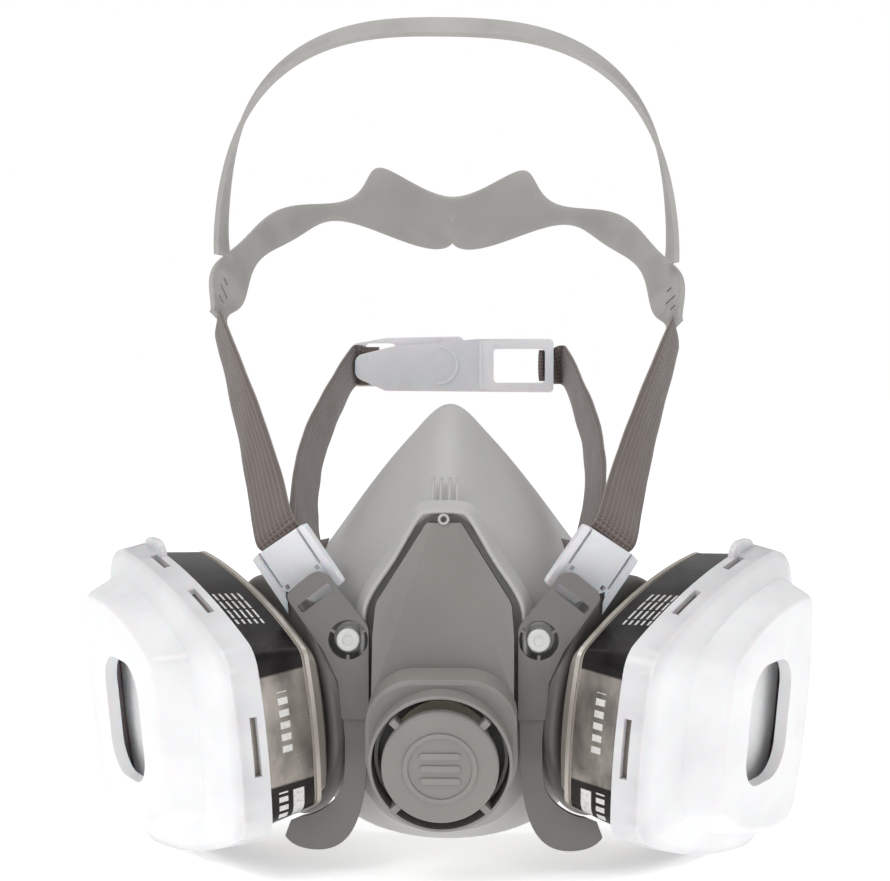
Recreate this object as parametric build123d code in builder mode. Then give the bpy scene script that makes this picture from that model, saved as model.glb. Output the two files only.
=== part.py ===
"""Half-face respirator with two clip-on cartridges, prefilter retainers and a head harness.

Units are millimetres.  +X is the viewer's right, the front of the mask faces -Y, +Z is up
and the floor is z = 0.  Pieces that come in pairs are modelled on the +X side and mirrored.
"""
import os
from math import cos, pi, radians, sin

from build123d import *

os.makedirs("parts", exist_ok=True)

# ---------------------------------------------------------------- driving dimensions
GAP = 0.2                    # gap between neighbouring fitted faces
SEAL_WALL = 3.0              # wall of the soft face seal
SEAL_FRONT = -33.0           # y of the flat front land of the face seal
SHELL_BACK = SEAL_FRONT - GAP
VALVE_TILT = 12.5            # exhalation valve axis, degrees below level
PORT_YAW = 59.6              # cartridge axis, degrees away from straight ahead
PORT_PITCH = 7.85            # cartridge axis, degrees below level
PORT_ROLL = 4.6              # cartridge outline, degrees about its own axis
CUP_LENGTH = 81.2            # cartridge outline: narrow end to wide end, before bowing
CUP_NARROW = 47.9
CUP_WIDE = 87.7
CUP_BOW = 4.2
CUP_CORNER_NARROW = 8.2
CUP_CORNER_WIDE = 15.4
STRAP_WIDTH = 13.5
STRAP_THICK = 1.5
BAND_WIDTH = 10.0
BAND_THICK = 1.6
CENTRE_Y = -21.36            # brings the middle of the bounding box over the origin

# ---------------------------------------------------------------- shared planes
yaw, pitch, roll = radians(PORT_YAW), radians(PORT_PITCH), radians(PORT_ROLL)
port_centre = Vector(48.8, -14.0, 44.0)
port_axis = Vector(sin(yaw) * cos(pitch), -cos(yaw) * cos(pitch), -sin(pitch))
port_level = Vector(cos(yaw), sin(yaw), 0)
port_up = port_axis.cross(port_level)
cup = Plane(
    origin=port_centre,
    x_dir=port_level * cos(roll) + port_up * sin(roll),
    z_dir=port_axis,
)

tilt = radians(VALVE_TILT)
valve = Plane(origin=(0, -64.5, 32.3), x_dir=(1, 0, 0), z_dir=(0, -cos(tilt), -sin(tilt)))


def front(y):
    """Sketch plane facing the viewer at depth y: local x is X, local y is Z."""
    return Plane(origin=(0, y, 0), x_dir=(1, 0, 0), z_dir=(0, -1, 0))


def cup_outline(height, grow, trim=0.0):
    """Cartridge outline at a height: bowed trapezoid with round corners, narrow end at -x."""
    slope = (CUP_WIDE - CUP_NARROW) / 2 / CUP_LENGTH
    near, far = -CUP_LENGTH / 2 - grow + trim, CUP_LENGTH / 2 + grow
    middle = (CUP_WIDE + CUP_NARROW) / 4 + 1.03 * grow
    half_near, half_far = middle + slope * near, middle + slope * far
    corners = [(near, -half_near), (far, -half_far), (far, half_far), (near, half_near)]
    outward = [(-slope, -1), (1, 0), (-slope, 1), (-1, 0)]
    with BuildSketch(cup.offset(height)) as outline:
        with BuildLine():
            for n, (nx, ny) in enumerate(outward):
                (ax, ay), (bx, by) = corners[n], corners[(n + 1) % 4]
                bow = CUP_BOW * (0.5 if n == 3 else 1.0)
                ThreePointArc((ax, ay), ((ax + bx) / 2 + bow * nx, (ay + by) / 2 + bow * ny), (bx, by))
        make_face()
        ends = outline.vertices().group_by(Axis.X)
        fillet(ends[-1], max(CUP_CORNER_WIDE + grow, 4))
        fillet(outline.vertices().group_by(Axis.X)[0], max(CUP_CORNER_NARROW + grow, 4))
    return outline.sketch


def cup_loft(levels, mode=Mode.ADD):
    """Loft cartridge outlines given as (height along the axis, growth[, trim])."""
    loft([cup_outline(*level) for level in levels], ruled=True, mode=mode)


def disc(plane, start, end, radius, hole=0.0, mode=Mode.ADD):
    """Round plate on a plane between two heights, with an optional round hole."""
    with BuildSketch(plane.offset(start)) as plate:
        Circle(radius)
        if hole:
            Circle(hole, mode=Mode.SUBTRACT)
    extrude(plate.sketch, amount=end - start, mode=mode)


def strip(plane, points, thick, width):
    """Curved strip: a run of even thickness through points on a plane, raised by a width."""
    sides = ([], [])
    for n, (x, y) in enumerate(points):
        (ax, ay), (bx, by) = points[max(n - 1, 0)], points[min(n + 1, len(points) - 1)]
        along = Vector(bx - ax, by - ay).normalized() * (thick / 2)
        sides[0].append((x - along.Y, y + along.X))
        sides[1].append((x + along.Y, y - along.X))
    with BuildSketch(plane) as profile:
        with BuildLine():
            Spline(*sides[0])
            Line(sides[0][-1], sides[1][-1])
            Spline(*sides[1][::-1])
            Line(sides[1][0], sides[0][0])
        make_face()
    extrude(profile.sketch, amount=width)


def outer_edges(plane):
    """Edges of the furthest face square to a plane, on its normal side."""
    square = faces().filter_by(lambda f: f.is_planar and f.normal_at().dot(plane.z_dir) > 0.999)
    return square.sort_by(Axis(plane.origin, plane.z_dir))[-1].edges()


def export(part, label):
    part = part.moved(Location((0, CENTRE_Y, 0)))
    part.label = label
    export_step(part, f"parts/{label}.step")


def export_pair(part, name):
    """Write the +X piece and its mirror image."""
    export(part, f"right_{name}")
    with BuildPart() as twin:
        mirror(part, about=Plane.YZ)
    export(twin.part, f"left_{name}")


# ---------------------------------------------------------------- face seal
# Half outlines (x, z) from the nose down to the chin, front to back.
seal_sections = [
    (-33, [(0, 96), (9, 91), (21, 72), (25, 48), (24, 28), (15, 14), (0, 10)]),
    (-12, [(0, 110), (13, 100), (32, 82), (42, 56), (40, 30), (25, 10), (0, 4)]),
    (12, [(0, 125), (12, 115), (30, 92), (50, 60), (49, 33), (29, 9), (0, 1)]),
    (38, [(0, 125), (13, 115), (31, 93), (51, 60), (50, 33), (30, 9), (0, 1)]),
]


def seal_loft(inset, front_y, mode=Mode.ADD):
    """Loft the seal outlines, drawn in by an inset all round."""
    rings = []
    for depth, half in seal_sections:
        y = front_y if depth == SEAL_FRONT else depth
        low, high = half[-1][1], half[0][1]
        middle = (low + high) / 2
        side = [
            (x - inset * min(x / 20, 1), z - 2 * inset * (z - middle) / (high - low))
            for x, z in half
        ]
        with BuildSketch(front(y)) as ring:
            with BuildLine():
                Spline(*side, *[(-x, z) for x, z in side[-2:0:-1]], periodic=True)
            make_face()
        rings.append(ring.sketch)
    loft(rings, mode=mode)


right_cup = cup
left_cup = Plane(
    origin=(-port_centre.X, port_centre.Y, port_centre.Z),
    x_dir=(-cup.x_dir.X, cup.x_dir.Y, cup.x_dir.Z),
    z_dir=(-port_axis.X, port_axis.Y, port_axis.Z),
)

with BuildPart() as face_seal:
    seal_loft(0.0, SEAL_FRONT)
    seal_loft(SEAL_WALL, SEAL_FRONT + SEAL_WALL, mode=Mode.SUBTRACT)
    # round recess of the head form that shapes the rim
    with BuildSketch(Plane.XY.offset(-5)):
        with Locations((0, 80)):
            Circle(65)
    extrude(amount=150, mode=Mode.SUBTRACT)
    # flat seats for the two ports
    for plane in (right_cup, left_cup):
        disc(plane, -10.0, -6.7, 27)
        disc(plane, -6.6, 30, 34.5, mode=Mode.SUBTRACT)
        disc(plane, -40, -10.0, 17.5, mode=Mode.SUBTRACT)
        disc(plane, -12, -6, 14.0, mode=Mode.SUBTRACT)
    # exhalation opening
    disc(valve, -50, -20, 13.5, mode=Mode.SUBTRACT)
export(face_seal.part, "face_seal")

# ---------------------------------------------------------------- front shell
panel_outline = [(4.6, 94), (18.2, 72.5), (18.9, 64), (18.9, 30), (10, 17), (0, 17)]
panel_outline += [(-x, z) for x, z in panel_outline[-2::-1]]
ridge_top, ridge_foot, panel_edge = Vector(3.3, -38.5, 93.5), Vector(18.0, -47, 50), Vector(18.6, -41.0, 68)

with BuildPart() as housing:
    # wide step, then a narrower step around the bore
    with BuildSketch(valve.offset(-19)):
        Circle(19.9)
        with Locations((0, 5.4)):
            RectangleRounded(39.6, 30.4, 13)
    extrude(amount=10.5)
    chamfer(outer_edges(valve), 1.0)
    disc(valve, -9, -2.6, 18.8)
    chamfer(outer_edges(valve), 0.3)
    with BuildSketch(valve.offset(-34)):
        RectangleRounded(37.6, 37.0, 13)
    extrude(amount=18)

with BuildPart() as front_shell:
    with BuildSketch(front(SHELL_BACK)):
        with BuildLine():
            Polyline(*panel_outline, close=True)
        make_face()
        for side in (1, -1):
            fillet(vertices().sort_by_distance((4.6 * side, 94))[0], 0.8)
            fillet(vertices().sort_by_distance((18.2 * side, 72.5))[0], 5)
    extrude(amount=20)
    # sloping centre facet and one facet each side of it
    centre_normal = Vector(0, -(93.5 - 50), 47 - 38.5).normalized()
    split(bisect_by=Plane(origin=(0, -38.5, 93.5), z_dir=centre_normal), keep=Keep.BOTTOM)
    side_normal = (ridge_foot - ridge_top).cross(panel_edge - ridge_top).normalized()
    if side_normal.Y > 0:
        side_normal = side_normal * -1
    for side in (1, -1):
        normal = (side_normal.X * side, side_normal.Y, side_normal.Z)
        origin = (ridge_top.X * side, ridge_top.Y, ridge_top.Z)
        split(bisect_by=Plane(origin=origin, z_dir=normal), keep=Keep.BOTTOM)
    add(housing.part)
    split(bisect_by=Plane(origin=(0, SHELL_BACK, 0), z_dir=(0, 1, 0)), keep=Keep.BOTTOM)
    disc(valve, -18.2, 5, 17.9, mode=Mode.SUBTRACT)
    disc(valve, -50, -18.2, 13.0, mode=Mode.SUBTRACT)
export(front_shell.part, "front_shell")

# ---------------------------------------------------------------- exhalation valve
with BuildPart() as valve_seat:
    disc(valve, -18.2, -16.2, 17.6, hole=10.8)
    with BuildSketch(valve.offset(-18.2)):
        for turn in (0, 60, 120):
            Rectangle(22.5, 1.6, rotation=turn)
        Circle(3)
    extrude(amount=1.4)
export(valve_seat.part, "valve_seat")

with BuildPart() as exhalation_valve:
    disc(valve, -16.0, -15.2, 13.0)
    disc(valve, -15.2, -14.2, 2.4)
export(exhalation_valve.part, "exhalation_valve")

with BuildPart() as valve_cover:
    disc(valve, -12.8, -8.4, 17.5, hole=16.6)
    disc(valve, -2.6, 0, 15.2)
    fillet(outer_edges(valve), 0.8)
    disc(valve, -4.2, -2.6, 12.0)
    for start, end, near, far in ((-5.4, -0.8, 13.9, 17.5), (-12.8, -0.8, 16.4, 17.5)):
        with BuildSketch(valve.offset(start)):
            with PolarLocations((near + far) / 2, 4, start_angle=45):
                Rectangle(far - near, 1.8)
        extrude(amount=end - start)
    # raised band and bars on the face of the disc
    with BuildSketch(valve.offset(-0.2)):
        Circle(9.6)
        Circle(8.4, mode=Mode.SUBTRACT)
        for height in (-3.4, 0, 3.4):
            with Locations((0, height)):
                RectangleRounded(10.5, 1.7, 0.8)
    extrude(amount=0.6)
export(valve_cover.part, "valve_cover")

# ---------------------------------------------------------------- ports and inhalation valves
with BuildPart() as port:
    disc(cup, -12.0, 5.6, 13.7, hole=11.6)
    disc(cup, -12.0, -10.2, 17.0, hole=11.6)
    disc(cup, -6.6, -2.2, 20.6, hole=13.0)
    with BuildSketch(cup.offset(2.7)):
        with PolarLocations(15.0, 3, start_angle=30):
            Rectangle(3.6, 7.0)
    extrude(amount=1.9)
    with BuildSketch(cup.offset(-12)):
        for turn in (0, 60, 120):
            Rectangle(24, 1.4, rotation=turn)
        Circle(2.4)
    extrude(amount=1.6)
export_pair(port.part, "port")

with BuildPart() as port_gasket:
    disc(cup, -2.2, 0, 19.8, hole=14.2)
export_pair(port_gasket.part, "port_gasket")

with BuildPart() as inhalation_valve:
    disc(cup, -13.0, -12.2, 12.8)
export_pair(inhalation_valve.part, "inhalation_valve")

# ---------------------------------------------------------------- yokes
yoke_front, yoke_thick = -41.0, 3.5
stud_x, stud_z = 25.5, 62.8

with BuildPart() as yoke:
    # bulged ring around the port, behind the cartridge
    disc(cup, -6.5, -1.6, 34, hole=21.0)
    fillet(edges().filter_by(GeomType.CIRCLE).sort_by(SortBy.RADIUS)[-2:], 2.0)
    with BuildSketch(front(yoke_front + yoke_thick)):
        with BuildLine():
            Polyline(
                (20.0, 41.5), (20.0, 66.4), (28.2, 76.4), (33.0, 82.6), (42.6, 74.8),
                (32.2, 60.0), (28.2, 51.5), (27.2, 41.5), close=True,
            )
        make_face()
        fillet(vertices().sort_by_distance((33.0, 82.6))[0], 4.2)
        fillet(vertices().sort_by_distance((42.6, 74.8))[0], 2.4)
        fillet(vertices().sort_by_distance((20.0, 66.4))[0], 5)
        fillet(vertices().sort_by_distance((32.2, 60.0))[0], 9)
    extrude(amount=yoke_thick)
    # thinner leg below a step, curling into a hook under the cartridge
    with BuildSketch(front(yoke_front + yoke_thick)):
        with BuildLine():
            Polyline((20.6, 33), (20.3, 43), (27.0, 43), (26.4, 36))
            Spline((26.4, 36), (30, 19), (40.5, 15.5), tangents=((0, -1), (1, 0.3)))
            Line((40.5, 15.5), (42.5, 10))
            Spline((42.5, 10), (36, 6.5), (20.6, 33), tangents=((-0.7, -1), (0, 1)))
        make_face()
    extrude(amount=yoke_thick - 0.6)
    # keep the leg clear of the cartridge
    cup_loft([(-0.6, -7.8), (4.4, -3.2), (26.0, -0.4)], mode=Mode.SUBTRACT)
    # strap slot, stud hole with three nibs
    with BuildSketch(front(yoke_front + yoke_thick)):
        with Locations(Location((34.3, 74.0), -38.0)):
            RectangleRounded(10.4, 2.4, 0.6)
        with Locations((stud_x, stud_z)):
            Circle(5.3)
            with PolarLocations(4.8, 3, start_angle=30):
                Rectangle(1.6, 0.8, mode=Mode.SUBTRACT)
    extrude(amount=yoke_thick, mode=Mode.SUBTRACT)
export_pair(yoke.part, "yoke")

with BuildPart() as yoke_stud:
    stud = Plane(origin=(stud_x, yoke_front, stud_z), x_dir=(1, 0, 0), z_dir=(0, -1, 0))
    disc(stud, -7.6, -6.4, 4.2)
    disc(stud, -6.4, 0.6, 3.1)
    fillet(outer_edges(stud), 0.6)
    disc(stud, 0.2, 1, 1.5, mode=Mode.SUBTRACT)
export_pair(yoke_stud.part, "yoke_stud")

# ---------------------------------------------------------------- strap buckles
strap_roll = 34.0
buckle_across = Vector(cos(radians(strap_roll)), 0, -sin(radians(strap_roll)))
buckle_lean = radians(20)    # outer edge leans back, clear of the turning cartridge
buckle_up = Vector(sin(radians(strap_roll)), 0, cos(radians(strap_roll)))
buckle_across = buckle_across * cos(buckle_lean) + Vector(0, sin(buckle_lean), 0)
buckle = Plane(origin=(39.3, -30.4, 81.0), x_dir=buckle_across, z_dir=buckle_across.cross(buckle_up))

with BuildPart() as strap_buckle:
    with BuildSketch(buckle):
        RectangleRounded(19.0, 19.5, 2.0)
        with Locations((0, -5.6)):
            RectangleRounded(11.5, 3.4, 0.6, mode=Mode.SUBTRACT)
        with Locations((-6.9, 4.2), (6.9, 4.2)):
            Rectangle(0.7, 11.5, mode=Mode.SUBTRACT)
        with Locations((-5.4, -2.2), (5.4, -2.2)):
            Rectangle(1.3, 1.3, mode=Mode.SUBTRACT)
    extrude(amount=2.0)
    # thick side rails
    with BuildSketch(buckle):
        with Locations((-8.5, 0), (8.5, 0)):
            RectangleRounded(1.9, 19.0, 0.8)
    extrude(amount=2.5)
    with BuildSketch(buckle):
        with Locations((0, 8.6)):
            RectangleRounded(17, 1.8, 0.8)
    extrude(amount=-1.2)
    # cut back round the ring of the yoke
    disc(cup, -12.0, -0.8, 35.2, mode=Mode.SUBTRACT)
export_pair(strap_buckle.part, "strap_buckle")

# ---------------------------------------------------------------- cartridges
case_wall = 1.2
with BuildPart() as cartridge_case:
    cup_loft([(4.8, -4.6), (24.6, -1.8)])
    cup_loft([(4.6, -4.0), (5.8, -4.0)])
    cup_loft([(6.2, -4.6 - case_wall), (24.8, -1.8 - case_wall)], mode=Mode.SUBTRACT)
    disc(cup, 4, 8, 20, mode=Mode.SUBTRACT)
export_pair(cartridge_case.part, "cartridge_case")

with BuildPart() as cartridge_back:
    cup_loft([(0, -9.5), (1.4, -7.4), (4.6, -5.8)])
    disc(cup, -1, 2.2, 14.2, mode=Mode.SUBTRACT)
    disc(cup, 2.2, 6, 17.6, mode=Mode.SUBTRACT)
    # entry notches for the bayonet lugs
    with BuildSketch(cup.offset(-0.5)):
        with PolarLocations(15.0, 3, start_angle=90):
            Rectangle(4.6, 8.0)
    extrude(amount=3, mode=Mode.SUBTRACT)
export_pair(cartridge_back.part, "cartridge_back")

label_low, label_high = 6.6, 21.4
case_slope = (4.6 - 1.8) / (24.6 - 4.8)
low_grow = -4.6 + case_slope * (label_low - 4.8)
high_grow = -4.6 + case_slope * (label_high - 4.8)
with BuildPart() as cartridge_label:
    cup_loft([(label_low, low_grow + 0.4), (label_high, high_grow + 0.4)])
    cup_loft([(label_low - 2, low_grow - 2 * case_slope), (label_high + 2, high_grow + 2 * case_slope)],
             mode=Mode.SUBTRACT)
export_pair(cartridge_label.part, "cartridge_label")

with BuildPart() as carbon_bed:
    cup_loft([(8.4, -6.6), (21.8, -4.6)])
export_pair(carbon_bed.part, "carbon_bed")

with BuildPart() as inlet_grille:
    cup_loft([(24.8, -1.8), (26.4, -1.8)])
    with BuildSketch(cup.offset(24)):
        with HexLocations(3.4, 9, 9):
            Circle(2.1)
    extrude(amount=4, mode=Mode.SUBTRACT)
export_pair(inlet_grille.part, "inlet_grille")

with BuildPart() as prefilter:
    cup_loft([(26.6, -3.2), (27.4, -3.2), (30.0, -9.4, 13)])
    cup_loft([(29.8, -9.8, 14), (33.0, -13.4, 17)])
export_pair(prefilter.part, "prefilter")

# ---------------------------------------------------------------- prefilter retainers
with BuildPart() as retainer:
    cup_loft([(21.3, 0.6), (29.0, 0.0), (32.2, -6.4, 12), (40.7, -9.0, 16)])
    fillet(outer_edges(cup), 2.2)
    cup_loft([(20, -0.9), (27.8, -1.4), (30.7, -7.8, 12), (39.2, -10.4, 16)], mode=Mode.SUBTRACT)
    # rounded breathing window with a rolled lip
    with BuildSketch(cup.offset(36)):
        with Locations((9, 0)):
            RectangleRounded(25, 34, 9)
    extrude(amount=8, mode=Mode.SUBTRACT)
    with BuildSketch(cup.offset(37.2)):
        with Locations((9, 0)):
            RectangleRounded(27.6, 36.6, 10.3)
            RectangleRounded(25, 34, 9, mode=Mode.SUBTRACT)
    extrude(amount=2.2)
    # clip windows in the rim
    for x, y, wide, deep in ((-41, 0, 6, 16), (-15, 34, 13, 8), (12, 43, 10, 10), (0, -39, 18, 10)):
        with BuildSketch(cup.offset(23.4)):
            with Locations((x, y)):
                Rectangle(wide, deep)
        extrude(amount=2.0, mode=Mode.SUBTRACT)
    # thumb tab
    with BuildSketch(cup.offset(21.3)):
        with Locations((21.0, 41.0)):
            RectangleRounded(13, 10, 4)
    extrude(amount=1.6)
    cup_loft([(20, -0.9), (24, -1.16)], mode=Mode.SUBTRACT)
export_pair(retainer.part, "retainer")

# ---------------------------------------------------------------- webbing straps


def webbing(stations, width=STRAP_WIDTH, thick=STRAP_THICK):
    """Flat strap lofted through stations of (centre, across direction[, own width])."""
    sections = []
    for n, (centre, across, *own) in enumerate(stations):
        before = Vector(stations[max(n - 1, 0)][0])
        after = Vector(stations[min(n + 1, len(stations) - 1)][0])
        along = (after - before).normalized()
        across = Vector(across)
        across = (across - along * across.dot(along)).normalized()
        with BuildSketch(Plane(origin=centre, x_dir=across, z_dir=along)) as section:
            Rectangle(own[0] if own else width, thick)
        sections.append(section.sketch)
    loft(sections)


def bowed(start, end, bow, count=6):
    """Stations between two (centre, across) ends, pushed aside by the vector bow midway."""
    stations = []
    for n in range(count):
        f = n / (count - 1)
        centre, across = (Vector(a) * (1 - f) + Vector(b) * f for a, b in zip(start, end))
        stations.append((centre + Vector(bow) * sin(pi * f), across))
    return stations


# each strap leaves its buckle slot and ends at a band end or at the clasp
for side, name, band_end in ((-1, "left", (-72.6, 50, 149.8)), (1, "right", (67.6, 50, 147.2))):
    with BuildPart() as head_strap:
        webbing(bowed(
            ((side * 46.6, -29.6, 91.9), (side * 0.78, 0.24, -0.60)),
            (band_end, (side * 0.25, 0.85, -0.45)),
            bow=(-side * 2.0, 0, -3.5),
        ))
    export(head_strap.part, f"{name}_head_strap")
    with BuildPart() as neck_strap:
        webbing(bowed(
            ((side * 38.5, -24.4, 89.0), (side * 0.62, -0.10, 0.75)),
            ((side * 35.0, 99.5, 137.2), (0, -0.20, 0.98)),
            bow=(side * 5.5, 0, -1.5),
        ))
    export(neck_strap.part, f"{name}_neck_strap")

# ---------------------------------------------------------------- neck clasp
with BuildPart() as clasp_right:
    # tapered tongue with a window frame at its end
    with BuildSketch(front(99.2)):
        with BuildLine():
            Polyline((-34, 134), (-34, 141), (-22, 144), (6, 146.5), (31, 146.5), (31, 129),
                     (-24, 129.5), close=True)
        make_face()
        for corner, radius in (((-34, 134), 3), ((-34, 141), 3), ((31, 129), 1.5), ((31, 146.5), 1.5)):
            fillet(vertices().sort_by_distance(corner)[0], radius)
        with Locations((19.8, 137.7)):
            RectangleRounded(16.8, 11.0, 1.2, mode=Mode.SUBTRACT)
    extrude(amount=2.6)
    # raised cross rib and curved rib
    with BuildSketch(front(96.7)):
        with Locations((7.2, 137.8)):
            Rectangle(0.8, 15.6)
        with Locations((-6.5, 138.0)):
            Circle(6.4)
            Circle(5.6, mode=Mode.SUBTRACT)
            with Locations((-5, 2)):
                Rectangle(10, 16, mode=Mode.SUBTRACT)
    extrude(amount=0.5)
export(clasp_right.part, "clasp_right")

with BuildPart() as clasp_left:
    with BuildSketch(front(104.8)):
        with BuildLine():
            Polyline((-35.5, 131), (-35.5, 145), (-24, 147), (1.5, 147.5), (1.5, 131), close=True)
        make_face()
        for corner in ((-35.5, 131), (-35.5, 145), (1.5, 131), (1.5, 147.5)):
            fillet(vertices().sort_by_distance(corner)[0], 2)
        with Locations((-26.0, 139.2)):
            RectangleRounded(9.6, 12.0, 1.2, mode=Mode.SUBTRACT)
    extrude(amount=2.6)
export(clasp_left.part, "clasp_left")

# ---------------------------------------------------------------- head cradle bands
REAR_HALF = 70.0             # half the spread of the rear band at its two ends
REAR_START = 50.0            # y of the ends
REAR_DEPTH = 57.0            # how far the middle lies behind the ends
REAR_FOOT = 150.6            # z of the ends, and how far the middle lies above them
REAR_RISE = 38.7
REAR_BULGE = 1.8             # 2 is an ellipse in plan, less is more pointed
REAR_WIDTH = 9.3
CROWN_HALF = 69.3
CROWN_Y = 54.5
CROWN_FOOT = 170.0
CROWN_RISE = 71.5
CROWN_BULGE = 2.7            # 2 is an ellipse, more is squarer shoulders
CROWN_FOOT_TURN = -15.0      # band face turned about its own length, degrees
CROWN_TOP_TURN = 36.0
SHIFT = -2.6                 # both bands sit a little to the left
ROLL = 0.02                  # and their right side hangs a little lower


def rear_station(side, back, width=REAR_WIDTH):
    """Station of the rear band, a distance back from its ends."""
    share = back / REAR_DEPTH
    x = side * REAR_HALF * (1 - share ** REAR_BULGE) ** (1 / REAR_BULGE)
    z = REAR_FOOT + REAR_RISE * sin(share * pi / 2)
    return (SHIFT + x, REAR_START + back, z - ROLL * x), (0.55 * x / REAR_HALF, -0.44, 0.8), width


def crown_station(turn):
    """Station of the crown band, turn degrees round from its left foot."""
    c, s = -cos(radians(turn)), sin(radians(turn))
    power = 2 / CROWN_BULGE
    x = CROWN_HALF * abs(c) ** power * (1 if c > 0 else -1)
    face = radians(CROWN_FOOT_TURN + (CROWN_TOP_TURN - CROWN_FOOT_TURN) * s)
    centre = (SHIFT + x, CROWN_Y, CROWN_FOOT + CROWN_RISE * s ** power - ROLL * x)
    return centre, (c * sin(face), cos(face), s * sin(face))


with BuildPart() as rear_band:
    # a narrow end, a broad paddle, then the band proper
    half = [(0, 7.0), (5, 11.0), (10, 15.0), (18, 10.0)] + [(back, REAR_WIDTH) for back in (27, 38, 49)]
    webbing(
        [rear_station(-1, *step) for step in half]
        + [rear_station(1, REAR_DEPTH)]
        + [rear_station(1, *step) for step in half[::-1]],
        thick=BAND_THICK,
    )
    # adjustment slots through the two paddles
    for side in (-1, 1):
        centre, across, _ = rear_station(side, 10)
        along = Vector(-side * 0.34, 0.73, 0.59)
        across = Vector(across)
        across = (across - along * across.dot(along)).normalized()
        leaf = Plane(origin=centre, x_dir=along, z_dir=along.cross(across))
        with BuildSketch(leaf.offset(-4)):
            for x, y, long in ((-1, 1.8, 2.6), (-4.5, 0.2, 5.0), (-8, -0.4, 3.0)):
                with Locations(Location((x, y), -71 * side)):
                    SlotOverall(long, 0.7)
        extrude(amount=8, mode=Mode.SUBTRACT)
export(rear_band.part, "rear_band")

with BuildPart() as crown_band:
    webbing([crown_station(15 * n) for n in range(13)], width=BAND_WIDTH, thick=BAND_THICK)
export(crown_band.part, "crown_band")
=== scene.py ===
"""Looks for the half-face respirator: soft parts, materials, studio and camera.  Metres."""

from math import cos, pi, radians, sin, sqrt

import bmesh
import bpy
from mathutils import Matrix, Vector, noise


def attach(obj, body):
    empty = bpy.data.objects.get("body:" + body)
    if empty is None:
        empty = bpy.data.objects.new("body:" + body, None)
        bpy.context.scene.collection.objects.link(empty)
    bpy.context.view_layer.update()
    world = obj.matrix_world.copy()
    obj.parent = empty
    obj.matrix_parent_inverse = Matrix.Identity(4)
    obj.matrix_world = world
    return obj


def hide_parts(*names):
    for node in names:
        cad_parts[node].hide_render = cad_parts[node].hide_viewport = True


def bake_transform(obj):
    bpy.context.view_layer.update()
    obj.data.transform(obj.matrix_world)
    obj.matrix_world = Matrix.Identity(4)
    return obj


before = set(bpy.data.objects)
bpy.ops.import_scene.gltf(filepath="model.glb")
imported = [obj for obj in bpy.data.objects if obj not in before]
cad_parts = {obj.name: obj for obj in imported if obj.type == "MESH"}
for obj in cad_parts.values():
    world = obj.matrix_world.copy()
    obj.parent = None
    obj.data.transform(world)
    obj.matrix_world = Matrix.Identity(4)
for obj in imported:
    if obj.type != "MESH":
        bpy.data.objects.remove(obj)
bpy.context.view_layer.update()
MM = 0.001
SIDES = {"left": -1, "right": 1}
CENTRE = Vector((0, -0.02136, 0))    # the drawing's origin seen from the frame's origin

# ------------------------------------------------------------------ shared places (as in the CAD)
PORT_YAW, PORT_PITCH, PORT_ROLL = radians(59.6), radians(7.85), radians(4.6)
PORT = Vector((0.0488, -0.0140, 0.0440))
PORT_AXIS = Vector((sin(PORT_YAW) * cos(PORT_PITCH), -cos(PORT_YAW) * cos(PORT_PITCH), -sin(PORT_PITCH)))
PORT_LEVEL = Vector((cos(PORT_YAW), sin(PORT_YAW), 0))
PORT_UP = PORT_AXIS.cross(PORT_LEVEL)
CUP_X = PORT_LEVEL * cos(PORT_ROLL) + PORT_UP * sin(PORT_ROLL)
CUP_Y = PORT_AXIS.cross(CUP_X)
CUP_LENGTH, CUP_NARROW, CUP_WIDE, CUP_BOW = 81.2, 47.9, 87.7, 4.2    # mm


def cup_point(side, x, y, height):
    """Point in the cartridge's own frame (metres) placed on the left or right side."""
    p = PORT + CUP_X * x + CUP_Y * y + PORT_AXIS * height
    return Vector((p.x * SIDES[side], p.y, p.z))


# ------------------------------------------------------------------ mesh helpers
def catmull_point(p0, p1, p2, p3, t):
    """Point a share t of the way from p1 to p2 on a Catmull-Rom curve."""
    return 0.5 * ((2 * p1) + (p2 - p0) * t + (2 * p0 - 5 * p1 + 4 * p2 - p3) * t * t
                  + (3 * p1 - p0 - 3 * p2 + p3) * t * t * t)


def catmull(points, steps, closed=False):
    """Smooth curve through points, with an even number of steps per span."""
    count = len(points)
    spans = count if closed else count - 1
    result = []
    for i in range(spans):
        if closed:
            p0, p1, p2, p3 = (points[(i + k - 1) % count] for k in range(4))
        else:
            p1, p2 = points[i], points[i + 1]
            p0 = points[i - 1] if i else p1 * 2 - p2
            p3 = points[i + 2] if i + 2 < count else p2 * 2 - p1
        for s in range(steps):
            result.append(catmull_point(p0, p1, p2, p3, s / steps))
    if not closed:
        result.append(points[-1].copy())
    return result


def make_piece(name, verts, faces, material, body=None, smooth=True, uvs=None):
    """Mesh object with one material; the drawing's vertices are brought into the frame."""
    mesh = bpy.data.meshes.new(name)
    mesh.from_pydata([tuple(v + CENTRE) for v in verts], [], faces)
    if uvs:
        layer = mesh.uv_layers.new(name="UVMap")
        for loop in mesh.loops:
            layer.data[loop.index].uv = uvs[loop.vertex_index]
    bm = bmesh.new()
    bm.from_mesh(mesh)
    bmesh.ops.recalc_face_normals(bm, faces=bm.faces)
    bm.to_mesh(mesh)
    bm.free()
    obj = bpy.data.objects.new(name, mesh)
    bpy.context.scene.collection.objects.link(obj)
    for face in mesh.polygons:
        face.use_smooth = smooth
    mesh.materials.append(material)
    if body:
        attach(obj, body)
    return obj


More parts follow.
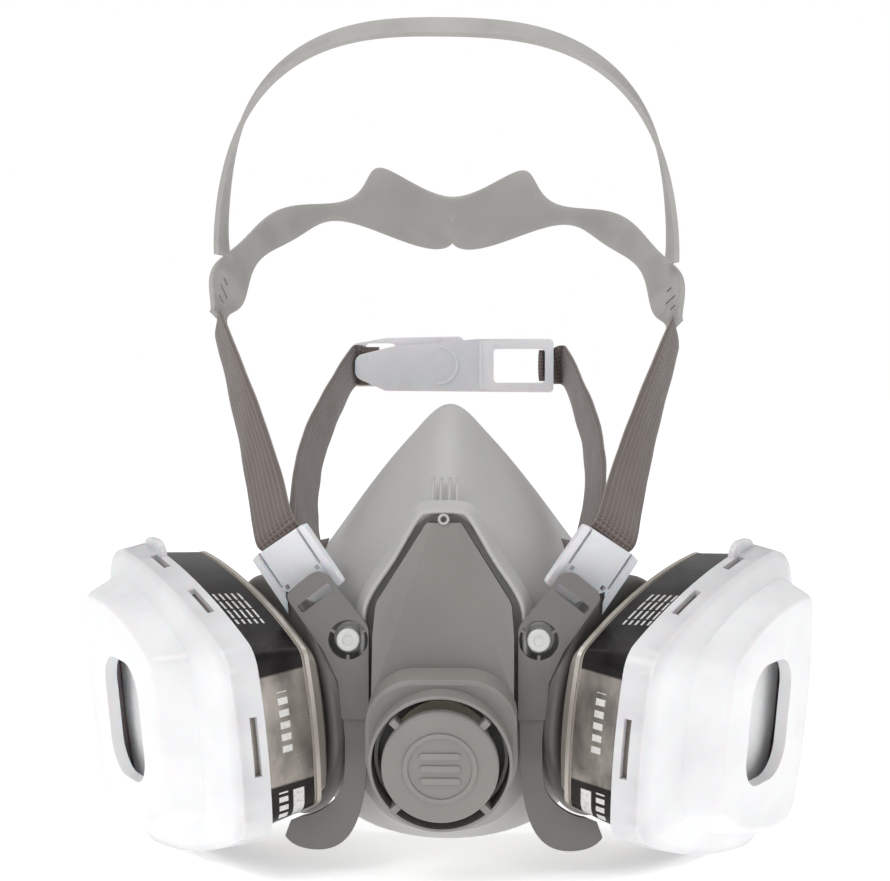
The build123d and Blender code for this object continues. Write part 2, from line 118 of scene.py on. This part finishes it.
def grid_faces(rows, columns, closed_columns=False):
    """Quads of a rows x columns grid of vertices."""
    faces = []
    last = columns if closed_columns else columns - 1
    for r in range(rows - 1):
        for c in range(last):
            n = (c + 1) % columns
            faces.append((r * columns + c, r * columns + n, (r + 1) * columns + n, (r + 1) * columns + c))
    return faces


def tube_along(path, radius, sides=10, closed=False, squash=1.0, out=None):
    """Vertices and faces of a round or flattened tube along a path; out is its flattened direction."""
    verts, faces = [], []
    count = len(path)
    for i, p in enumerate(path):
        a = path[(i - 1) % count] if closed or i else p
        b = path[(i + 1) % count] if closed or i + 1 < count else p
        along = (b - a).normalized()
        side = (out if out else Vector((0, 0, 1))).cross(along)
        side = side.normalized() if side.length > 1e-6 else Vector((1, 0, 0))
        up = along.cross(side)
        for k in range(sides):
            angle = 2 * pi * k / sides
            verts.append(p + side * (radius * cos(angle)) + up * (radius * squash * sin(angle)))
    rings = count if closed else count - 1
    for i in range(rings):
        for k in range(sides):
            n, j = (k + 1) % sides, (i + 1) % count
            faces.append((i * sides + k, i * sides + n, j * sides + n, j * sides + k))
    if not closed:
        faces.append(tuple(range(sides))[::-1])
        faces.append(tuple((count - 1) * sides + k for k in range(sides)))
    return verts, faces


def join_lists(*meshes):
    """Several (verts, faces) as one."""
    verts, faces = [], []
    for v, f in meshes:
        base = len(verts)
        verts += v
        faces += [tuple(i + base for i in face) for face in f]
    return verts, faces


# ------------------------------------------------------------------ materials
class Look:
    """A procedural material: a Principled shader plus short ways to add nodes to it."""

    def __init__(self, name, roughness=0.5, metallic=0.0, **sockets):
        self.material = bpy.data.materials.new(name)
        self.material.use_nodes = True
        self.tree = self.material.node_tree
        self.shader = self.tree.nodes["Principled BSDF"]
        self.set(self.shader, {"Roughness": roughness, "Metallic": metallic, **sockets})

    @staticmethod
    def set(node, values):
        for key, value in values.items():
            node.inputs[key].default_value = value

    def node(self, kind, values=None, **settings):
        node = self.tree.nodes.new(kind)
        for key, value in settings.items():
            setattr(node, key, value)
        self.set(node, values or {})
        return node

    def link(self, source, target):
        self.tree.links.new(source, target)

    def place(self, scale=(1, 1, 1), source="Object"):
        """Mapped coordinates of the object, in metres, or its UV map."""
        coords = self.node("ShaderNodeTexCoord")
        mapping = self.node("ShaderNodeMapping", {"Scale": scale})
        self.link(coords.outputs[source], mapping.inputs["Vector"])
        return mapping.outputs["Vector"]

    def noise(self, scale, detail=4, stretch=(1, 1, 1), source="Object"):
        node = self.node("ShaderNodeTexNoise", {"Scale": scale, "Detail": detail})
        self.link(self.place(stretch, source), node.inputs["Vector"])
        return node.outputs["Fac"]

    def ramp(self, value, stops):
        node = self.node("ShaderNodeValToRGB")
        bands = node.color_ramp.elements
        while len(bands) < len(stops):
            bands.new(0.5)
        for band, (at, colour) in zip(bands, stops):
            band.position = at
            band.color = (*colour, 1) if len(colour) == 3 else colour
        self.link(value, node.inputs["Fac"])
        return node.outputs["Color"]

    def within(self, value, low, high, soft=0.0002):
        """1 where a value lies between two limits, with a slightly soft edge."""
        return self.math("MULTIPLY", self.span(value, low - soft, low), self.span(value, high + soft, high))

    def all(self, *masks):
        result = masks[0]
        for mask in masks[1:]:
            result = self.math("MULTIPLY", result, mask)
        return result

    def math(self, operation, a, b=0.0):
        node = self.node("ShaderNodeMath", operation=operation)
        for socket, value in zip(node.inputs, (a, b)):
            if isinstance(value, (int, float)):
                socket.default_value = value
            else:
                self.link(value, socket)
        return node.outputs["Value"]

    def span(self, value, low, high, to_low=0.0, to_high=1.0):
        node = self.node("ShaderNodeMapRange", {"From Min": low, "From Max": high,
                                                "To Min": to_low, "To Max": to_high})
        self.link(value, node.inputs["Value"])
        return node.outputs["Result"]

    def mix(self, factor, a, b, mode="MIX"):
        node = self.node("ShaderNodeMix", data_type="RGBA", blend_type=mode)
        for index, value in ((0, factor), (6, a), (7, b)):
            if isinstance(value, (int, float)):
                node.inputs[index].default_value = value
            elif isinstance(value, tuple):
                node.inputs[index].default_value = (*value, 1)
            else:
                self.link(value, node.inputs[index])
        return node.outputs[2]

    def colour(self, socket):
        self.link(socket, self.shader.inputs["Base Color"])

    def rough(self, value, low, high):
        self.link(self.span(value, 0.3, 0.7, low, high), self.shader.inputs["Roughness"])

    def bump(self, *layers):
        """Stack bump layers given as (height socket, strength, distance in metres)."""
        last = None
        for height, strength, distance in layers:
            node = self.node("ShaderNodeBump", {"Strength": strength, "Distance": distance})
            self.link(height, node.inputs["Height"])
            if last:
                self.link(last, node.inputs["Normal"])
            last = node.outputs["Normal"]
        self.link(last, self.shader.inputs["Normal"])


def shade(colour, factor):
    return tuple(min(c * factor, 1.0) for c in colour)


def moulded(name, colour, roughness=0.45, grain=0.25, grain_scale=2600, edge_highlight=0.08, **sockets):
    """Injection-moulded plastic: fine spark grain, slow tone drift, painted highlights on its convex edges.
    """
    look = Look(name, roughness, **sockets)
    drift = look.noise(45, 3)
    tone = look.ramp(drift, [(0.3, shade(colour, 0.93)), (0.7, shade(colour, 1.07))])
    # painted highlight: convex edges are lightened, as if catching the light
    edge = look.span(look.node("ShaderNodeNewGeometry").outputs["Pointiness"], 0.52, 0.62, 0, edge_highlight * 4)
    look.colour(look.mix(edge, tone, shade(colour, 1.6)))
    fine = look.noise(grain_scale, 2)
    look.rough(look.noise(160, 4), roughness - 0.06, roughness + 0.08)
    look.bump((fine, grain, 0.00004), (drift, 0.08, 0.0006))
    return look.material


def rubber(name, colour, roughness=0.42, sheen=0.15):
    """Soft moulded elastomer: satin, faint flow marks and dust."""
    look = Look(name, roughness)
    Look.set(look.shader, {"Sheen Weight": sheen, "Sheen Roughness": 0.5, "Subsurface Weight": 0.06,
                           "Subsurface Scale": 0.004})
    flow = look.noise(24, 5, (1, 1, 0.4))
    speck = look.noise(900, 3)
    tone = look.ramp(flow, [(0.32, shade(colour, 0.95)), (0.68, shade(colour, 1.05))])
    body = look.mix(look.span(speck, 0.62, 0.75, 0, 0.25), tone, shade(colour, 1.15))
    look.colour(body)
    look.rough(look.noise(70, 4), roughness - 0.06, roughness + 0.10)
    look.bump((speck, 0.12, 0.00005), (flow, 0.10, 0.0008))
    return look.material


def milky(name, colour=(0.70, 0.71, 0.74), roughness=0.30):
    """Natural polypropylene: milky, glossy, with soft sink marks, cloudy depth and painted highlights on
    its edges.
    """
    look = Look(name, roughness, **{"Subsurface Weight": 0.35, "Subsurface Scale": 0.002,
                                    "Coat Weight": 0.25, "Coat Roughness": 0.2})
    cloud = look.noise(60, 3)
    # painted highlight: convex edges are lightened, as if catching the light
    edge = look.span(look.node("ShaderNodeNewGeometry").outputs["Pointiness"], 0.50, 0.60, 0, 0.6)
    tone = look.ramp(cloud, [(0.3, shade(colour, 0.94)), (0.7, shade(colour, 1.05))])
    look.colour(look.mix(edge, tone, shade(colour, 1.25)))
    look.rough(look.noise(110, 4), roughness - 0.06, roughness + 0.10)
    look.bump((look.noise(35, 2), 0.12, 0.0008), (look.noise(1500, 2), 0.05, 0.00003))
    return look.material


def retainer_plastic(side):
    """Thin milky retainer: greyer rim, whiter front where the prefilter lies behind it, painted highlights
    on its edges.
    """
    look = Look(f"{side}_retainer_plastic", 0.34, **{"Subsurface Weight": 0.3, "Subsurface Scale": 0.002,
                                                     "Coat Weight": 0.15, "Coat Roughness": 0.25})
    height = cup_coordinates(look, side)[2]
    cloud = look.noise(50, 3)
    rim = look.ramp(cloud, [(0.3, (0.50, 0.50, 0.52)), (0.7, (0.60, 0.60, 0.62))])
    dome = look.ramp(cloud, [(0.3, (0.76, 0.76, 0.775)), (0.7, (0.86, 0.86, 0.865))])
    body = look.mix(look.span(height, 0.0282, 0.0300), rim, dome)
    # painted highlight: convex edges are lightened, as if catching the light
    edge = look.span(look.node("ShaderNodeNewGeometry").outputs["Pointiness"], 0.51, 0.60, 0, 0.5)
    look.colour(look.mix(edge, body, (0.88, 0.88, 0.89)))
    look.rough(look.noise(110, 4), 0.28, 0.42)
    look.bump((look.noise(30, 2), 0.12, 0.0008), (look.noise(1500, 2), 0.05, 0.00003))
    return look.material


def stud_plastic():
    """White snap stud: satin plastic with a faint mottle."""
    look = Look("stud_plastic", 0.35)
    look.colour(look.ramp(look.noise(300, 3), [(0.3, (0.62, 0.62, 0.60)), (0.7, (0.72, 0.72, 0.70))]))
    look.rough(look.noise(200, 3), 0.30, 0.44)
    look.bump((look.noise(900, 2), 0.10, 0.00004))
    return look.material


CORDS = 9                  # light cords across the webbing
STITCH_LENGTH = 0.00105


def webbing():
    """Knitted elastic: light lengthways cords over a dark ribbed ground."""
    look = Look("webbing_weave", 0.85)
    Look.set(look.shader, {"Sheen Weight": 0.35, "Sheen Roughness": 0.4, "Specular IOR Level": 0.25})
    parts = look.node("ShaderNodeSeparateXYZ")
    look.link(look.place(source="UV"), parts.inputs["Vector"])
    across, along = parts.outputs["X"], parts.outputs["Y"]
    wobble = look.math("MULTIPLY", look.math("SUBTRACT", look.noise(90, 3, source="UV"), 0.5), 0.010)
    phase = look.math("MULTIPLY", look.math("ADD", across, wobble), CORDS * pi)
    column = look.math("ABSOLUTE", look.math("SINE", phase))
    cord = look.span(column, 0.0, 0.42, 1, 0)
    chevron = look.math("ADD", look.math("MULTIPLY", along, 2 * pi / STITCH_LENGTH),
                        look.math("MULTIPLY", column, 2.2))
    stitch = look.span(look.math("SINE", chevron), -1, 1)
    fuzz = look.noise(2600, 3, source="Object")
    ground = look.mix(stitch, (0.085, 0.066, 0.060), (0.185, 0.150, 0.138))
    thread = look.mix(look.span(fuzz, 0.35, 0.65), (0.30, 0.255, 0.235), (0.47, 0.42, 0.39))
    cloth = look.mix(look.math("MULTIPLY", cord, 0.62), ground, thread)
    look.colour(look.mix(look.span(look.noise(55, 4), 0.3, 0.7, 0, 0.25), cloth, (0.17, 0.14, 0.13)))
    look.bump((cord, 0.55, 0.0003), (stitch, 0.5, 0.00018), (fuzz, 0.3, 0.0001))
    return look.material


def fibre():
    """Blown white filter fibre."""
    look = Look("filter_fibre", 0.95)
    Look.set(look.shader, {"Sheen Weight": 0.4, "Sheen Roughness": 0.6, "Subsurface Weight": 0.2,
                           "Subsurface Scale": 0.004})
    hair = look.noise(900, 6, (1, 3, 1))
    look.colour(look.ramp(hair, [(0.3, (0.80, 0.80, 0.81)), (0.7, (0.93, 0.93, 0.93))]))
    look.bump((hair, 0.6, 0.0004), (look.noise(120, 4), 0.3, 0.001))
    return look.material


def champagne():
    """Metallic-flake champagne plastic of the cartridge body."""
    look = Look("cartridge_champagne", 0.36, 0.55)
    flake = look.noise(2200, 2)
    drift = look.noise(30, 3)
    base = look.ramp(drift, [(0.3, (0.44, 0.40, 0.36)), (0.7, (0.56, 0.52, 0.47))])
    look.colour(look.mix(look.span(flake, 0.55, 0.8, 0, 0.5), base, (0.75, 0.70, 0.64)))
    look.rough(look.noise(140, 4), 0.30, 0.44)
    look.bump((flake, 0.10, 0.00003))
    return look.material


def cup_coordinates(look, side):
    """Sockets of a cartridge's own x, y and height, in metres, from object coordinates."""
    coords = look.node("ShaderNodeTexCoord").outputs["Object"]
    origin = cup_point(side, 0, 0, 0)
    axes = [(cup_point(side, *unit) - origin) for unit in ((1, 0, 0), (0, 1, 0), (0, 0, 1))]
    origin = origin + CENTRE
    shifted = look.node("ShaderNodeVectorMath", operation="SUBTRACT")
    look.link(coords, shifted.inputs[0])
    shifted.inputs[1].default_value = origin
    sockets = []
    for axis in axes:
        dot = look.node("ShaderNodeVectorMath", operation="DOT_PRODUCT")
        look.link(shifted.outputs["Vector"], dot.inputs[0])
        dot.inputs[1].default_value = axis
        sockets.append(dot.outputs["Value"])
    return sockets


def foil_label(side):
    """Dark foil band with a painted gunmetal reflection round the narrow end, with plain pale bars."""
    look = Look(f"{side}_foil_label", 0.24, 0.75)
    x, y, height = cup_coordinates(look, side)
    # painted reflection: the foil at the narrow end is lightened to gunmetal, where the studio reflects in
    # it
    front = look.span(x, -0.030, -0.036)
    reflection_mask = look.all(front, look.within(y, -0.0125, 0.0165, 0.0006))
    cloud = look.noise(130, 3, (1, 1, 0.5))
    dark = look.ramp(cloud, [(0.3, (0.012, 0.010, 0.010)), (0.7, (0.035, 0.030, 0.030))])
    # colour of the painted reflection
    reflection_tone = look.ramp(cloud, [(0.35, (0.17, 0.155, 0.14)), (0.65, (0.42, 0.385, 0.345))])
    foil = look.mix(reflection_mask, dark, reflection_tone)

    def dashes(value, period, share):
        return look.span(look.math("PINGPONG", value, period), period * share, period * (share - 0.1))

    end = look.span(x, -0.033, -0.035)
    single = look.all(end, look.within(y, -0.004, 0.012), look.within(height, 0.0128, 0.0156),
                      dashes(y, 0.0016, 0.62))
    bold = look.all(end, look.within(y, -0.0240, -0.0150), look.within(height, 0.0100, 0.0132))
    second = look.all(end, look.within(y, -0.0245, -0.0148), look.within(height, 0.0150, 0.0176),
                      dashes(y, 0.0012, 0.66))
    rows = look.all(look.span(y, 0.012, 0.016), look.within(x, -0.024, -0.008),
                    look.within(height, 0.0095, 0.0185), dashes(height, 0.0009, 0.4),
                    dashes(x, 0.0024, 0.9))
    printed = look.math("MAXIMUM", look.math("MAXIMUM", single, bold), look.math("MAXIMUM", second, rows))
    worn = look.math("MULTIPLY", printed, look.span(look.noise(1400, 3), 0.25, 0.5, 0.55, 0.95))
    look.colour(look.mix(worn, foil, (0.80, 0.79, 0.77)))
    look.link(look.span(printed, 0, 1, 0.75, 0.1), look.shader.inputs["Metallic"])
    look.rough(look.noise(90, 4), 0.20, 0.34)
    look.bump((look.noise(70, 3), 0.15, 0.0004))
    return look.material


def granules():
    """Black carbon granules, with painted shade darkening each granule towards its edges."""
    look = Look("carbon_granules", 0.7)
    cell = look.node("ShaderNodeTexVoronoi", {"Scale": 900})
    look.link(look.place(), cell.inputs["Vector"])
    # painted shade: each granule darkens towards its cell edge, where granules meet
    stops = [(0.0, (0.03, 0.03, 0.03)), (0.8, (0.008, 0.008, 0.008))]
    look.colour(look.ramp(cell.outputs["Distance"], stops))
    look.bump((cell.outputs["Distance"], 0.8, 0.0004))
    return look.material


SEAL = rubber("seal_elastomer", (0.475, 0.468, 0.458), 0.45)
SHELL = moulded("shell_plastic", (0.225, 0.212, 0.200), 0.42)
YOKE = moulded("yoke_plastic", (0.150, 0.142, 0.136), 0.36)
BAND = moulded("band_plastic", (0.350, 0.338, 0.322), 0.44, grain=0.15)
STUD = stud_plastic()
MILKY = milky("milky_plastic")
WEBBING = webbing()
FIBRE = fibre()
CASE = champagne()
VALVE_RUBBER = rubber("valve_rubber", (0.62, 0.58, 0.46), 0.38)
GASKET = rubber("gasket_rubber", (0.03, 0.03, 0.03), 0.5)
SEAT = moulded("seat_plastic", (0.10, 0.097, 0.094), 0.4)
GRILLE = moulded("grille_plastic", (0.42, 0.39, 0.36), 0.4)
CARBON = granules()

CAD_LOOKS = {
    "front_shell": SHELL, "valve_cover": SHELL, "valve_seat": SEAT, "exhalation_valve": VALVE_RUBBER,
    "clasp_left": MILKY, "clasp_right": MILKY, "rear_band": BAND, "crown_band": BAND,
}
SIDE_LOOKS = {
    "port": YOKE, "port_gasket": GASKET, "inhalation_valve": VALVE_RUBBER, "yoke": YOKE,
    "yoke_stud": STUD, "strap_buckle": MILKY, "cartridge_case": CASE, "cartridge_back": CASE,
    "carbon_bed": CARBON, "inlet_grille": GRILLE,
}


def dress(node, material):
    """Give a CAD node its material; its mesh stays as it is."""
    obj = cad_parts[node]
    for place in obj.material_slots:
        place.material = material


for node_name, material in CAD_LOOKS.items():
    dress(node_name, material)
for side in SIDES:
    for node_name, material in SIDE_LOOKS.items():
        dress(f"{side}_{node_name}", material)
    dress(f"{side}_cartridge_label", foil_label(side))
    dress(f"{side}_retainer", retainer_plastic(side))

# ------------------------------------------------------------------ face seal
SEAL_STATIONS = [
    (-0.033, [(0, 96), (9, 91), (21, 72), (25, 48), (24, 28), (15, 14), (0, 10)]),
    (-0.012, [(0, 110), (13, 100), (32, 82), (42, 56), (40, 30), (25, 10), (0, 4)]),
    (0.012, [(0, 125), (12, 115), (30, 92), (50, 60), (49, 33), (29, 9), (0, 1)]),
    (0.038, [(0, 125), (13, 115), (31, 93), (51, 60), (50, 33), (30, 9), (0, 1)]),
]
SEAL_FRONT = SEAL_STATIONS[0][0]
SEAL_WALL = 0.0026
RIM_CENTRE_Y, RIM_RADIUS = 0.080, 0.065      # the rim is cut as if by a face-sized upright cylinder
RIM_LIMIT = 0.0375


def seal_ring(y):
    """Closed ring of seal points at depth y, starting at the nose and going round by +X."""
    depths = [s[0] for s in SEAL_STATIONS]
    y = max(min(y, depths[-1]), depths[0])
    k = max(i for i in range(len(depths) - 1) if depths[i] <= y)
    t = (y - depths[k]) / (depths[k + 1] - depths[k])
    half = []
    for i in range(len(SEAL_STATIONS[0][1])):
        row = [Vector(SEAL_STATIONS[min(max(k + d, 0), 3)][1][i]) for d in (-1, 0, 1, 2)]
        half.append(catmull_point(*row, t) * MM)
    ring = half + [Vector((-p.x, p.y)) for p in half[-2:0:-1]]
    return catmull(ring, 8, closed=True)


def rim_depth(x):
    """Depth of the seal's rim at a sideways distance x."""
    inside = RIM_RADIUS ** 2 - x * x
    return min(RIM_CENTRE_Y - sqrt(max(inside, 0)), RIM_LIMIT)


def build_face_seal(rows=26):
    """Outer skin of the seal, from its closed front to its curved rim."""
    count = len(seal_ring(0))
    rims = []
    for c in range(count):
        y = 0.02
        for _ in range(6):
            y = rim_depth(seal_ring(y)[c].x)
        rims.append(y)
    ring_at = {}
    verts = []
    for r in range(rows):
        for c in range(count):
            depth = SEAL_FRONT + (rims[c] - SEAL_FRONT) * (r / (rows - 1))
            key = round(depth, 5)
            if key not in ring_at:
                ring_at[key] = seal_ring(depth)
            p = ring_at[key][c]
            verts.append(Vector((p.x, depth, p.y)))
    faces = grid_faces(rows, count, True)
    centre = len(verts)
    verts.append(Vector((0, SEAL_FRONT, 0.053)))
    faces += [(c, (c + 1) % count, centre) for c in range(count)]
    obj = make_piece("face_seal_skin", verts, faces, SEAL)
    solid = obj.modifiers.new("wall", "SOLIDIFY")
    solid.thickness, solid.offset = SEAL_WALL, -1
    return obj


def apply_all(obj):
    """Apply an object's modifiers to its mesh."""
    graph = bpy.context.evaluated_depsgraph_get()
    mesh = bpy.data.meshes.new_from_object(obj.evaluated_get(graph))
    obj.modifiers.clear()
    obj.data = mesh
    for face in mesh.polygons:
        face.use_smooth = True
    return obj


seal = apply_all(build_face_seal())
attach(seal, "facepiece")
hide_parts("face_seal")


def panel_lip():
    """Raised lip of the seal round the top and sides of the front panel."""
    outline = [Vector(p) * MM for p in [(20.9, 36), (20.9, 50), (20.9, 62), (20.0, 72.4), (12.8, 84.0),
                                        (6.6, 94.6), (4.0, 96.2), (0, 96.4)]]
    half = catmull(outline, 6)
    path = half + [Vector((-p.x, p.y)) for p in half[-2::-1]]
    # how far outside the panel, and how deep
    profile = [(0.0, -32.6), (0.1, -38.2), (0.5, -38.9), (1.1, -38.9), (1.5, -38.2), (2.2, -34.6),
               (3.4, -31.6)]
    verts = []
    for i, p in enumerate(path):
        along = (path[min(i + 1, len(path) - 1)] - path[max(i - 1, 0)]).normalized()
        outward = Vector((along.y, -along.x))
        for offset, depth in profile:
            q = p + outward * (offset * MM)
            verts.append(Vector((q.x, depth * MM, q.y)))
    return verts, grid_faces(len(path), len(profile))


def nose_ribs():
    """Four short ribs and a small boss on the bridge of the seal."""
    parts = []
    for x in (-3.3, -1.2, 1.2, 3.3):
        path = [Vector((x * MM, -(32.6 - 1.35 * t) * MM, (97.4 + t) * MM)) for t in range(0, 9, 2)]
        parts.append(tube_along(path, 0.00042, 8))
    boss_radius, boss_depth, boss_height, boss_steps = 0.0012, -0.0389, 0.0950, 16
    turns = [2 * pi * k / boss_steps for k in range(boss_steps)]
    ring = [Vector((boss_radius * cos(a), boss_depth, boss_height + boss_radius * sin(a))) for a in turns]
    parts.append(tube_along(ring, 0.0004, 8, closed=True, out=Vector((0, 1, 0))))
    return join_lists(*parts)


for name, (verts, faces) in {"seal_panel_lip": panel_lip(), "seal_nose_ribs": nose_ribs()}.items():
    detail = make_piece(name, verts, faces, SEAL)
    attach(detail, "facepiece")

# ------------------------------------------------------------------ webbing
STRAP_WIDTH, STRAP_THICK = 0.0135, 0.0013


def ribbon(name, stations, width=STRAP_WIDTH, thick=STRAP_THICK, steps=14, columns=17, wave=0.0004, seed=0):
    """Webbing strip through (centre, across[, width]) stations in mm, soft-edged and slightly waved."""
    centres = catmull([Vector(station[0]) * MM for station in stations], steps)
    widths = catmull([Vector(station[1]).normalized() for station in stations], steps)
    given = [station[2] * MM if len(station) > 2 else width for station in stations]
    spans = catmull([Vector((span, 0)) for span in given], steps)
    verts, uvs, length = [], [], 0.0
    count = len(centres)
    for i, centre in enumerate(centres):
        if i:
            length += (centre - centres[i - 1]).length
        along = (centres[min(i + 1, count - 1)] - centres[max(i - 1, 0)]).normalized()
        across = widths[i] - along * widths[i].dot(along)
        across.normalize()
        out = across.cross(along)
        for side in (1, -1):
            for c in range(columns):
                u = c / (columns - 1) if side == 1 else 1 - c / (columns - 1)
                edge = 1 - abs(2 * u - 1) ** 6
                ripple = wave * noise.noise(Vector((u * 2.0, length * 60, seed)))
                lift = side * thick / 2 * (0.35 + 0.65 * edge) + ripple
                verts.append(centre + across * ((u - 0.5) * spans[i].x) + out * lift)
                uvs.append((u, length))
    ring = columns * 2
    faces = grid_faces(count, ring, True)
    faces.append(tuple(range(ring))[::-1])
    faces.append(tuple((count - 1) * ring + k for k in range(ring)))
    obj = make_piece(name, verts, faces, WEBBING, uvs=uvs)
    return obj


def bowed(start, end, bow, count=6):
    """Stations between two (centre, across) ends, pushed aside by bow midway, as the CAD has them."""
    stations = []
    for n in range(count):
        f = n / (count - 1)
        centre, across = (Vector(a) * (1 - f) + Vector(b) * f for a, b in zip(start, end))
        stations.append((centre + Vector(bow) * sin(pi * f), across))
    return stations


BAND_ENDS = {"left": (-72.6, 50, 149.8), "right": (67.6, 50, 147.2)}
# how each neck strap ends: run into the left clasp half, or looped round the right window bar
NECK_TAILS = {
    "left": [
        ((-31.0, 100.8, 137.7), (0, 0, 1), 12.6),
        ((-26.0, 100.9, 138.0), (0, 0, 1), 12.0),
    ],
    "right": [
        ((31.5, 100.6, 137.6), (0, 0, 1), 11.6),
        ((28.4, 100.8, 137.8), (0, 0, 1), 10.4),
        ((26.9, 99.6, 137.8), (0, 0, 1), 10.2),
        ((26.6, 97.2, 137.8), (0, 0, 1), 10.2),
    ],
}


def head_stations(side):
    """Head strap stations: a tuck into the buckle, then the CAD's bowed run."""
    sign = 1 if side == "right" else -1
    leaving = (sign * 0.78, 0.24, -0.60)
    run = bowed(
        ((sign * 46.6, -29.6, 91.9), leaving),
        (BAND_ENDS[side], (sign * 0.25, 0.85, -0.45)),
        (-sign * 2.0, 0, -3.5),
    )
    return [((sign * 44.0, -29.6, 88.4), leaving, 12.6)] + run


def neck_stations(side):
    """Neck strap stations: a tuck behind the buckle, the CAD's bowed run, then the clasp end."""
    sign = 1 if side == "right" else -1
    leaving = (sign * 0.62, -0.10, 0.75)
    run = bowed(
        ((sign * 38.5, -24.4, 89.0), leaving),
        ((sign * 35.0, 99.5, 137.2), (0, -0.20, 0.98)),
        (sign * 5.5, 0, -1.5),
    )
    return [((sign * 38.0, -27.0, 87.1), leaving)] + run + NECK_TAILS[side]


for side in SIDES:
    strap = ribbon(f"{side}_head_webbing", head_stations(side), seed=3 + SIDES[side])
    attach(strap, "head_harness")
    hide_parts(f"{side}_head_strap")
    strap = ribbon(f"{side}_neck_webbing", neck_stations(side), seed=7 + SIDES[side])
    if side == "right":
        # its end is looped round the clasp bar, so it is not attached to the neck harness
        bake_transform(strap)
    else:
        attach(strap, "neck_harness")
    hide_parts(f"{side}_neck_strap")


# ------------------------------------------------------------------ prefilters
def cup_ring(grow, trim, samples=14):
    """Cartridge outline points (metres) in its own frame, as the CAD draws it."""
    slope = (CUP_WIDE - CUP_NARROW) / 2 / CUP_LENGTH
    near, far = -CUP_LENGTH / 2 - grow + trim, CUP_LENGTH / 2 + grow
    middle = (CUP_WIDE + CUP_NARROW) / 4 + 1.03 * grow
    corners = [(near, -(middle + slope * near)), (far, -(middle + slope * far)),
               (far, middle + slope * far), (near, middle + slope * near)]
    outward = [(-slope, -1), (1, 0), (-slope, 1), (-1, 0)]
    points = []
    for n, (nx, ny) in enumerate(outward):
        (ax, ay), (bx, by) = corners[n], corners[(n + 1) % 4]
        high = CUP_BOW * (0.5 if n == 3 else 1.0)
        for s in range(samples):
            t = (s + 0.5) / samples
            rise = high * (1 - (2 * t - 1) ** 2)
            points.append(Vector((ax + (bx - ax) * t + rise * nx, ay + (by - ay) * t + rise * ny)) * MM)
    for _ in range(5):
        following = points[1:] + points[:1]
        points = [(points[i - 1] + p * 2 + following[i]) / 4 for i, p in enumerate(points)]
    return points


def build_prefilter(side):
    """Quilt-soft disc of fibre: rounded edge, raised middle, slight lumps."""
    # height, growth of the outline and trim of its narrow end
    levels = [(26.7, -9.0, 0), (26.6, -4.2, 0), (26.9, -3.4, 0), (27.3, -3.8, 0), (28.5, -6.2, 6),
              (29.7, -9.0, 12), (31.0, -11.0, 15), (32.4, -13.4, 17), (33.0, -18.0, 18), (33.1, -22.0, 19)]
    verts, rows = [], len(levels)
    for height, grow, trim in levels:
        for p in cup_ring(grow, trim):
            lump = 0.00035 * noise.noise(Vector((p.x * 90, p.y * 90, height)))
            verts.append(cup_point(side, p.x, p.y, height * MM + lump))
    columns = len(cup_ring(0, 0))
    faces = grid_faces(rows, columns, True)
    faces.append(tuple(range(columns))[::-1])
    faces.append(tuple((rows - 1) * columns + k for k in range(columns)))
    pad = make_piece(f"{side}_prefilter_pad", verts, faces, FIBRE)
    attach(pad, f"{side}_prefilter")
    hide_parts(f"{side}_prefilter")


for side in SIDES:
    build_prefilter(side)


# ------------------------------------------------------------------ studio
def area_light(name, place, target, size, power):
    """Rectangular light at a place, turned to its target."""
    light = bpy.data.lights.new(name, "AREA")
    light.shape, light.size, light.size_y, light.energy = "RECTANGLE", size[0], size[1], power
    obj = bpy.data.objects.new(name, light)
    obj.location = place
    obj.rotation_euler = (Vector(target) - Vector(place)).to_track_quat("-Z", "Y").to_euler()
    bpy.context.scene.collection.objects.link(obj)


def build_floor():
    """Wide pale floor, bright enough to run into the white background."""
    look = Look("floor_paper", 0.7)
    look.colour(look.ramp(look.noise(9, 4), [(0.3, (0.88, 0.88, 0.88)), (0.7, (0.91, 0.91, 0.91))]))
    Look.set(look.shader, {"Emission Color": (1, 1, 1, 1), "Emission Strength": 0.52,
                           "Specular IOR Level": 0.0})
    verts = [Vector((x, y, 0)) for y in (-4, 0, 60) for x in (-60, 60)]
    make_piece("studio_floor", verts, grid_faces(3, 2), look.material)


def build_world():
    """White surroundings: full white to the camera, softer as a light."""
    world = bpy.data.worlds.new("studio_world")
    world.use_nodes = True
    tree = world.node_tree
    path = tree.nodes.new("ShaderNodeLightPath")
    strength = tree.nodes.new("ShaderNodeMapRange")
    strength.inputs["To Min"].default_value = 0.55
    strength.inputs["To Max"].default_value = 1.0
    tree.links.new(path.outputs["Is Camera Ray"], strength.inputs["Value"])
    background = tree.nodes["Background"]
    background.inputs["Color"].default_value = (1, 1, 1, 1)
    tree.links.new(strength.outputs["Result"], background.inputs["Strength"])
    bpy.context.scene.world = world


build_floor()
build_world()
area_light("key", (-0.9, -1.1, 1.5), (0, 0, 0.08), (1.0, 1.0), 10.5)
area_light("fill", (1.3, -1.2, 0.7), (0, 0, 0.08), (1.2, 1.2), 3.6)
area_light("top", (0, 0.3, 1.9), (0, 0.05, 0), (1.6, 1.6), 8)

camera = bpy.data.objects.new("camera", bpy.data.cameras.new("camera"))
camera.data.lens, camera.data.sensor_width = 91.0, 36.0
camera.location = Vector((0.022, -0.640, 0.1287)) + CENTRE
camera.rotation_euler = (radians(88.8), 0, radians(2.06))
bpy.context.scene.collection.objects.link(camera)
bpy.context.scene.camera = camera
bpy.context.scene.view_settings.view_transform = "Standard"
